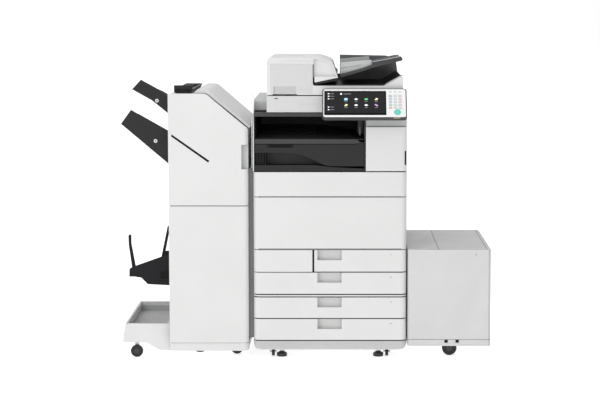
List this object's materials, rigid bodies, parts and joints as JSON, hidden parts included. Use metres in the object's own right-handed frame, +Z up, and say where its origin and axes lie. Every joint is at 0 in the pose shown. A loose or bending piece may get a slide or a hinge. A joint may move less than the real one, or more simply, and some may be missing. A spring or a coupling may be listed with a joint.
{
  "type": "photocopier",
  "caption": "Floor-standing colour photocopier with document feeder, touch panel, paper cassettes, a booklet finisher on the left and a side paper deck on the right.",
  "frame": {"origin": "middle of the footprint's bounding box, on the floor", "axes": "+X to the right along the whole machine, +Y from front to back, +Z up"},
  "size_m": [1.4981, 0.789, 1.226],
  "materials": {
    "white_cover": "fine moulded texture",
    "pale_grey_cover": "fine moulded texture",
    "black_tray": "satin moulded",
    "dark_grey_tray": "satin moulded",
    "sheet_steel": "zinc plated sheet",
    "platen": "clear polished",
    "screen": "polished",
    "key_caps": "soft touch",
    "start_key": "soft touch",
    "roller_coating": "smooth",
    "pressure_rubber": "smooth",
    "toner_shell": "satin",
    "imaging_plastic": "satin",
    "caster_rubber": "matt",
    "foot_metal": "dark zinc",
    "tub_plastic": "moulded"
  },
  "bodies": {
    "main_unit": {"main_frame": "sheet_steel", "left_cover": "white_cover", "right_cover": "white_cover", "rear_cover": "white_cover", "base_skirt": "white_cover", "drawer_side_panel": "white_cover", "delivery_tray": "black_tray", "upper_delivery_tray": "black_tray", "delivery_wall": "black_tray", "column_cover": "white_cover", "toner_cartridges": "toner_shell", "imaging_unit": "imaging_plastic", "fixing_frame": "sheet_steel", "leveling_feet": "foot_metal", "reader_housing": "white_cover", "platen_glass": "platen", "panel_arm": "dark_grey_tray"},
    "front_door": {"front_door": "white_cover"},
    "toner_cover": {"toner_cover": "white_cover"},
    "right_door": {"right_door": "white_cover"},
    "bypass_tray": {"bypass_tray": "white_cover"},
    "fuser_roller": {"fuser_roller": "roller_coating"},
    "pressure_roller": {"pressure_roller": "pressure_rubber"},
    "scan_carriage": {"scan_carriage": "dark_grey_tray"},
    "document_feeder": {"adf_base": "white_cover"},
    "feeder_cover": {"adf_cover": "white_cover"},
    "document_tray": {"document_tray": "dark_grey_tray"},
    "document_guide_front": {"document_guide_front": "pale_grey_cover"},
    "document_guide_rear": {"document_guide_rear": "dark_grey_tray"},
    "control_panel": {"panel_housing": "white_cover", "touch_screen": "screen"},
    "panel_keys": {"panel_keys": "key_caps"},
    "start_key": {"start_key": "start_key"},
    "main_casters_front": {"main_casters_front": "caster_rubber"},
    "main_casters_rear": {"main_casters_rear": "caster_rubber"},
    "finisher": {"finisher_cabinet": "white_cover", "finisher_exit_guide": "black_tray", "booklet_tray": "black_tray", "finisher_base": "white_cover"},
    "finisher_upper_door": {"finisher_upper_door": "white_cover"},
    "finisher_lower_door": {"finisher_lower_door": "white_cover"},
    "finisher_top_cover": {"finisher_top_cover": "white_cover"},
    "finisher_upper_tray": {"finisher_upper_tray": "black_tray"},
    "finisher_lower_tray": {"finisher_lower_tray": "black_tray"},
    "booklet_stopper": {"booklet_stopper": "black_tray"},
    "booklet_press_arm": {"booklet_press_arm": "black_tray"},
    "finisher_wheels_left": {"finisher_wheels_left": "caster_rubber"},
    "finisher_wheels_right": {"finisher_wheels_right": "caster_rubber"},
    "paper_deck": {"deck_cabinet": "white_cover"},
    "deck_lid": {"deck_lid": "white_cover"},
    "deck_plate": {"deck_plate": "sheet_steel"},
    "deck_wheels": {"deck_wheels": "caster_rubber"},
    "cassette_1": {"cassette_1_tray": "tub_plastic", "cassette_1_front": "white_cover"},
    "cassette_2": {"cassette_2_tray": "tub_plastic", "cassette_2_front": "white_cover"},
    "cassette_3": {"cassette_3_tray": "tub_plastic", "cassette_3_front": "white_cover"},
    "cassette_4": {"cassette_4_tray": "tub_plastic", "cassette_4_front": "white_cover"}
  },
  "joints": [
    {"name": "front_door_hinge", "type": "hinge", "parent": "main_unit", "child": "front_door", "pos_m": [0.0985, -0.2785, 0.461], "axis": [1, 0, 0], "range_deg": [0, 90]},
    {"name": "toner_cover_hinge", "type": "hinge", "parent": "main_unit", "child": "toner_cover", "pos_m": [0.0985, -0.2785, 0.675], "axis": [1, 0, 0], "range_deg": [0, 80]},
    {"name": "right_door_hinge", "type": "hinge", "parent": "main_unit", "child": "right_door", "pos_m": [0.4045, 0.3505, 0.6], "axis": [0, 0, 1], "range_deg": [0, 90]},
    {"name": "bypass_tray_hinge", "type": "hinge", "parent": "right_door", "child": "bypass_tray", "pos_m": [0.4055, 0.0295, 0.4905], "axis": [0, 1, 0], "range_deg": [0, 75]},
    {"name": "cassette_1_slide", "type": "slide", "parent": "main_unit", "child": "cassette_1", "axis": [0, -1, 0], "range_m": [0, 0.42]},
    {"name": "cassette_2_slide", "type": "slide", "parent": "main_unit", "child": "cassette_2", "axis": [0, -1, 0], "range_m": [0, 0.42]},
    {"name": "cassette_3_slide", "type": "slide", "parent": "main_unit", "child": "cassette_3", "axis": [0, -1, 0], "range_m": [0, 0.42]},
    {"name": "cassette_4_slide", "type": "slide", "parent": "main_unit", "child": "cassette_4", "axis": [0, -1, 0], "range_m": [0, 0.42]},
    {"name": "fuser_spin", "type": "hinge", "parent": "main_unit", "child": "fuser_roller", "pos_m": [0.3265, 0.0365, 0.65], "axis": [0, 1, 0], "continuous": true},
    {"name": "pressure_spin", "type": "hinge", "parent": "main_unit", "child": "pressure_roller", "pos_m": [0.3631, 0.0365, 0.65], "axis": [0, 1, 0], "continuous": true},
    {"name": "scan_slide", "type": "slide", "parent": "main_unit", "child": "scan_carriage", "axis": [1, 0, 0], "range_m": [0, 0.42]},
    {"name": "feeder_hinge", "type": "hinge", "parent": "main_unit", "child": "document_feeder", "pos_m": [0.0985, 0.3065, 1.083], "axis": [-1, 0, 0], "range_deg": [0, 65]},
    {"name": "feeder_cover_hinge", "type": "hinge", "parent": "document_feeder", "child": "feeder_cover", "pos_m": [-0.152, 0.0025, 1.2005], "axis": [0, -1, 0], "range_deg": [0, 70]},
    {"name": "document_tray_hinge", "type": "hinge", "parent": "document_feeder", "child": "document_tray", "pos_m": [0.1465, 0.0025, 1.148], "axis": [0, -1, 0], "range_deg": [0, 20]},
    {"name": "document_guide_front_slide", "type": "slide", "parent": "document_tray", "child": "document_guide_front", "axis": [0, 1, 0], "range_m": [0, 0.12]},
    {"name": "document_guide_rear_slide", "type": "slide", "parent": "document_tray", "child": "document_guide_rear", "axis": [0, 1, 0], "range_m": [-0.12, 0]},
    {"name": "panel_tilt", "type": "hinge", "parent": "main_unit", "child": "control_panel", "pos_m": [0.236, -0.3215, 1.022], "axis": [1, 0, 0], "range_deg": [0, 20]},
    {"name": "key_press", "type": "slide", "parent": "control_panel", "child": "panel_keys", "axis": [0, 0.809, -0.5878], "range_m": [0, 0.0015], "stiffness_N_per_m": 400, "springref_m": -0.0015},
    {"name": "start_press", "type": "slide", "parent": "control_panel", "child": "start_key", "axis": [0, 0.809, -0.5878], "range_m": [0, 0.0015], "stiffness_N_per_m": 300, "springref_m": -0.0015},
    {"name": "main_casters_front_spin", "type": "hinge", "parent": "main_unit", "child": "main_casters_front", "pos_m": [0.0985, -0.2255, 0.0195], "axis": [1, 0, 0], "continuous": true},
    {"name": "main_casters_rear_spin", "type": "hinge", "parent": "main_unit", "child": "main_casters_rear", "pos_m": [0.0985, 0.3345, 0.0195], "axis": [1, 0, 0], "continuous": true},
    {"name": "finisher_undock", "type": "slide", "parent": "main_unit", "child": "finisher", "axis": [-1, 0, 0], "range_m": [0, 0.25]},
    {"name": "finisher_upper_door_hinge", "type": "hinge", "parent": "finisher", "child": "finisher_upper_door", "pos_m": [-0.5435, -0.2775, 0.85], "axis": [0, 0, -1], "range_deg": [0, 100]},
    {"name": "finisher_lower_door_hinge", "type": "hinge", "parent": "finisher", "child": "finisher_lower_door", "pos_m": [-0.5435, -0.2775, 0.345], "axis": [0, 0, -1], "range_deg": [0, 100]},
    {"name": "finisher_top_cover_hinge", "type": "hinge", "parent": "finisher", "child": "finisher_top_cover", "pos_m": [-0.4065, 0.3485, 1.085], "axis": [-1, 0, 0], "range_deg": [0, 40]},
    {"name": "upper_tray_lift", "type": "slide", "parent": "finisher", "child": "finisher_upper_tray", "axis": [0, 0, 1], "range_m": [-0.06, 0]},
    {"name": "lower_tray_lift", "type": "slide", "parent": "finisher", "child": "finisher_lower_tray", "axis": [0, 0, 1], "range_m": [-0.2, 0]},
    {"name": "booklet_stopper_hinge", "type": "hinge", "parent": "finisher", "child": "booklet_stopper", "pos_m": [-0.6955, -0.0155, 0.389], "axis": [0, -1, 0], "range_deg": [0, 60]},
    {"name": "booklet_press_arm_hinge", "type": "hinge", "parent": "finisher", "child": "booklet_press_arm", "pos_m": [-0.5585, -0.0155, 0.536], "axis": [0, 1, 0], "range_deg": [0, 35]},
    {"name": "finisher_wheels_left_spin", "type": "hinge", "parent": "finisher", "child": "finisher_wheels_left", "pos_m": [-0.6895, 0.0105, 0.0258], "axis": [0, 1, 0], "continuous": true},
    {"name": "finisher_wheels_right_spin", "type": "hinge", "parent": "finisher", "child": "finisher_wheels_right", "pos_m": [-0.2845, 0.0425, 0.0258], "axis": [0, 1, 0], "continuous": true},
    {"name": "deck_undock", "type": "slide", "parent": "main_unit", "child": "paper_deck", "axis": [1, 0, 0], "range_m": [0, 0.3]},
    {"name": "deck_lid_hinge", "type": "hinge", "parent": "paper_deck", "child": "deck_lid", "pos_m": [0.5415, 0.0195, 0.445], "axis": [0, -1, 0], "range_deg": [0, 75]},
    {"name": "deck_plate_lift", "type": "slide", "parent": "paper_deck", "child": "deck_plate", "axis": [0, 0, 1], "range_m": [0, 0.25]},
    {"name": "deck_wheels_spin", "type": "hinge", "parent": "paper_deck", "child": "deck_wheels", "pos_m": [0.5875, 0.0165, 0.0308], "axis": [0, 1, 0], "continuous": true}
  ],
  "couplings": [
    {"joint": "pressure_spin", "follows": "fuser_spin", "ratio": -1},
    {"joint": "document_guide_rear_slide", "follows": "document_guide_front_slide", "ratio": -1}
  ]
}
